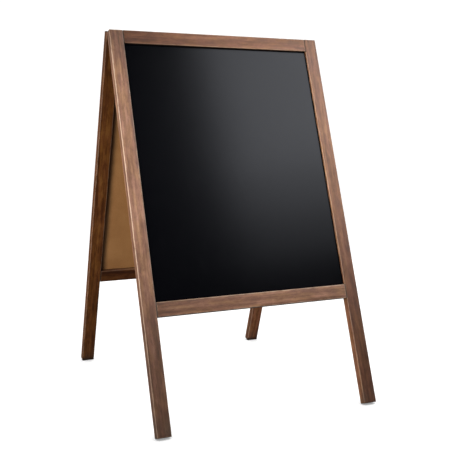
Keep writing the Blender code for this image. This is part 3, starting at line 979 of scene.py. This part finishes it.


# ---------------------------------------------------------------- assembly

# tint: the outer faces. inner tint: painted shade on the inner faces (painted light where it is
# above 1)
# inner_from: how far round the section the painted inner shade reaches, 0 for half of each side
# contrast: of the stain's streaks. wear: corners rubbed pale, strong enough to be a painted
# highlight. gloss: specular level
# low_end, high_end: from the end, where the painted shade is full and where it stops; its strength
# edge: 1 for painted light on the side towards the panel, -1 for painted shade on the corner all
# along the panel
Look = namedtuple(
    "Look",
    "tint inner_tint inner_from contrast wear gloss low_end high_end edge",
    defaults=(0.0,),
)
# Painted shade for the inner faces
INNER_SHADE = (0.43, 0.34, 0.155)
LOOKS = {
    "front": {
        "left_stile": Look(
            tint=(0.92, 0.94, 0.99),
            inner_tint=INNER_SHADE,
            inner_from=0.3,
            contrast=1.15,
            wear=1.0,
            gloss=0.60,
            low_end=(0.12, 0.50, 0.78),
            high_end=(0.02, 0.11, 0.55),
            edge=-1.0,
        ),
        "right_stile": Look(
            tint=(0.86, 0.78, 0.72),
            inner_tint=INNER_SHADE,
            inner_from=0.3,
            contrast=1.15,
            wear=0.45,
            gloss=0.40,
            low_end=(0.10, 0.75, 0.70),
            high_end=(0.0, 0.05, 0.10),
            edge=1.0,
        ),
        "top_rail": Look(
            tint=(0.86, 0.78, 0.70),
            inner_tint=INNER_SHADE,
            inner_from=0.3,
            contrast=1.0,
            wear=0.50,
            gloss=0.36,
            low_end=(-0.06, 0.30, 0.95),
            high_end=(0.0, 0.10, 0.10),
        ),
        "bottom_rail": Look(
            tint=(0.90, 0.90, 0.90),
            inner_tint=INNER_SHADE,
            inner_from=0.3,
            contrast=1.1,
            wear=0.90,
            gloss=0.55,
            low_end=(-0.02, 0.30, 0.66),
            high_end=(0.0, 0.15, 0.05),
        ),
    },
    "rear": {
        "left_stile": Look(
            tint=(0.92, 0.86, 0.78),
            inner_tint=(0.50, 0.38, 0.17),
            inner_from=-0.9,
            contrast=1.6,
            wear=0.30,
            gloss=0.15,
            low_end=(0.10, 0.44, 0.0),
            high_end=(0.0, 0.50, 0.50),
        ),
        "right_stile": Look(
            tint=(0.92, 0.88, 0.82),
            inner_tint=(1.45, 1.30, 1.15),
            inner_from=-0.5,
            contrast=1.3,
            wear=0.70,
            gloss=0.30,
            low_end=(0.05, 0.40, 0.35),
            high_end=(0.0, 0.10, 0.10),
        ),
        "top_rail": Look(
            tint=(0.88, 0.84, 0.78),
            inner_tint=INNER_SHADE,
            inner_from=0.3,
            contrast=1.2,
            wear=0.50,
            gloss=0.36,
            low_end=(0.0, 0.35, 0.50),
            high_end=(0.0, 0.20, 0.20),
        ),
        "bottom_rail": Look(
            tint=(0.95, 0.92, 0.88),
            inner_tint=(0.36, 0.25, 0.10),
            inner_from=-0.6,
            contrast=1.7,
            wear=0.20,
            gloss=0.15,
            low_end=(0.0, 0.20, 0.30),
            high_end=(0.0, 0.30, 0.40),
        ),
    },
}

seed = 0
for board, looks in LOOKS.items():
    for part, look in looks.items():
        seed += 1
        along = 2 if "stile" in part else 0
        timber(f"{board}_{part}", board, along, seed, look)
    faces = panel_material(f"{board}_panel_faces", board)
    dress(f"{board}_chalkboard_panel", faces)

for index, name in enumerate(sorted(nodes)):
    board = "rear" if name.startswith("rear") or "_rear_" in name else "front"
    if "dowel" in name:
        dress(name, dowel_material(f"{name}_beech", index))
    elif "screw" in name:
        build_screw(name, board, index)
    elif "leaf" in name:
        build_leaf(name.split("_")[0], board, index)
    elif "hinge" in name or "plate" in name:
        soften(name)
        dress(name, zinc_material(f"{name}_zinc", index))

build_strap()


# ---------------------------------------------------------------- studio


def area_light(name, place, target, size, power, spread=180, roll=0.0, lowered=0.0):
    """A lamp aimed at the target, then moved down by lowered within its own plane."""
    lamp = bpy.data.lights.new(name, "AREA")
    lamp.shape = "RECTANGLE"
    lamp.size, lamp.size_y = size
    lamp.energy = power
    lamp.spread = radians(spread)
    holder = new_object(name, lamp)
    aim = Vector(target) - Vector(place)
    turn = aim.to_track_quat("-Z", "Y").to_matrix() @ Matrix.Rotation(radians(roll), 3, "Z")
    holder.location = Vector(place) + turn @ Vector((0, -lowered, 0))
    holder.rotation_euler = turn.to_euler()


def build_floor():
    """White paper: evenly bright to the camera, with soft painted shade only close to the feet."""
    shape = bmesh.new()
    bmesh.ops.create_grid(shape, x_segments=1, y_segments=1, size=30.0)
    mesh = bpy.data.meshes.new("studio_floor")
    shape.to_mesh(mesh)
    shape.free()
    floor = new_object("studio_floor", mesh)
    floor.location.z = bounds_at_start[0][2]
    graph = Graph("studio_paper")
    camera_ray = graph.add("ShaderNodeLightPath").outputs["Is Camera Ray"]
    far = graph.add("ShaderNodeVectorMath", operation="LENGTH")
    graph.feed(far.inputs[0], graph.position)
    fade = graph.fit(far.outputs["Value"], 0.7, 2.2)
    # Painted contact shadow from ambient occlusion, dimming the glow near the feet
    contact = graph.add("ShaderNodeAmbientOcclusion", samples=8)
    contact.inputs["Distance"].default_value = 0.05
    contact_shadow = graph.fit(contact.outputs["AO"], 0.2, 0.95, 0.35, 1.0)
    glow = graph.fit(fade, 0.0, 1.0, 0.86, 1.06, soft=False)
    glow = graph.math("MULTIPLY", graph.math("MULTIPLY", glow, contact_shadow), camera_ray)
    paper = graph.fit(camera_ray, 0.0, 1.0, FLOOR_BOUNCE, FLOOR_SEEN, soft=False)
    graph.set(
        Base_Color=graph.join(paper, paper, paper),
        Roughness=0.9,
        Specular_IOR_Level=0.0,
        Emission_Color=(1.0, 1.0, 1.0),
        Emission_Strength=glow,
    )
    mesh.materials.append(graph.material)


def build_world():
    """A dim fill for the object, and a white backdrop for the camera."""
    world = bpy.data.worlds.new("studio")
    bpy.context.scene.world = world
    world.use_nodes = True
    tree = world.node_tree
    backdrop = tree.nodes["Background"]
    backdrop.inputs["Color"].default_value = (1, 1, 1, 1)
    path = tree.nodes.new("ShaderNodeLightPath")
    strength = tree.nodes.new("ShaderNodeMapRange")
    strength.inputs[3].default_value = WORLD_FILL
    strength.inputs[4].default_value = WORLD_SEEN
    tree.links.new(path.outputs["Is Camera Ray"], strength.inputs[0])
    tree.links.new(strength.outputs[0], backdrop.inputs["Strength"])


build_world()
build_floor()

# The softbox fades out towards its lower edge: (height, middle below the aim, power per height)
SOFTBOX_PANES = ((0.80, -0.075, 13.0), (0.20, 0.425, 8.0), (0.22, 0.635, 3.8))
for pane, (height, lowered, power) in enumerate(SOFTBOX_PANES):
    area_light(
        f"right_softbox_{pane}",
        (1.045, -1.01, 1.66),
        (-0.005, -0.06, 0.79),
        (1.0, height),
        power * height,
        spread=120,
        roll=-16,
        lowered=lowered,
    )
area_light("front_top", (-1.20, -1.25, 1.45), (-0.18, -0.15, 0.58), (0.5, 0.4), 3.1, spread=60)
area_light("left_key", (-2.10, -1.05, 0.30), (-0.25, 0.05, 0.44), (0.6, 0.5), 2.9, spread=60)
area_light("left_side", (-2.2, 0.35, 0.80), (-0.2, 0.0, 0.60), (0.8, 0.8), 2.5, spread=60)
area_light("back_right", (1.55, 1.65, 1.25), (0.0, 0.10, 0.60), (1.1, 1.1), 12)
area_light("back_key", (0.55, 2.20, 1.55), (0.0, 0.15, 0.50), (1.2, 1.0), 14, spread=110)
area_light("back_left", (-1.95, 1.35, 1.35), (0.0, 0.10, 0.60), (0.9, 0.9), 6)
area_light("right_side", (2.30, -0.20, 1.00), (0.1, 0.0, 0.55), (0.8, 0.8), 4, spread=70)

camera_data = bpy.data.cameras.new("camera")
camera_data.sensor_width = SENSOR_WIDTH
camera_data.lens = CAMERA_LENS
camera = new_object("camera", camera_data)
camera.location = CAMERA_PLACE
camera.rotation_euler = (pi / 2 - CAMERA_DIP, 0.0, -CAMERA_HEADING)
bpy.context.scene.camera = camera
bpy.context.scene.view_settings.view_transform = "Standard"
